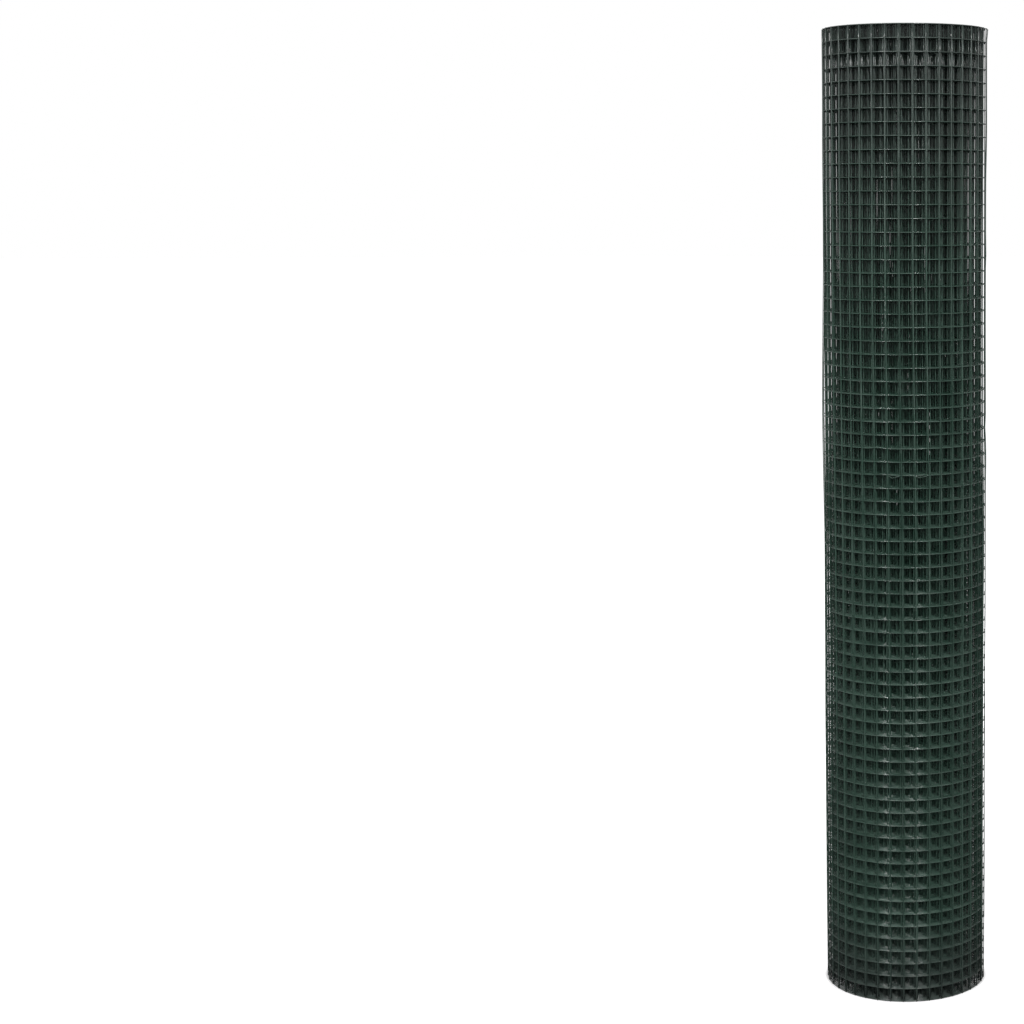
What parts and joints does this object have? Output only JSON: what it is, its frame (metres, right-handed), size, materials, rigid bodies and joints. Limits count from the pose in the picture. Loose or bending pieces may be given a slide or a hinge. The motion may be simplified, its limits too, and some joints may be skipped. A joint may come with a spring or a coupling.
{
  "type": "roll of welded wire mesh fencing",
  "caption": "Upright cylindrical roll of green plastic-coated welded wire mesh with a small square grid, wound on itself round an open bore.",
  "frame": {"origin": "middle of the bore at the lower end of the roll, where it stands on the floor", "axes": "+Z along the axis of the roll, up; the roll stands on its end, and -Y faces the viewer"},
  "size_m": [0.1721, 0.172, 0.9999],
  "materials": {
    "coated_wire": "dark green plastic coating on galvanised wire, semi-gloss, lightly dusty"
  },
  "bodies": {
    "root": {"mesh_roll": "coated_wire"}
  },
  "joints": []
}
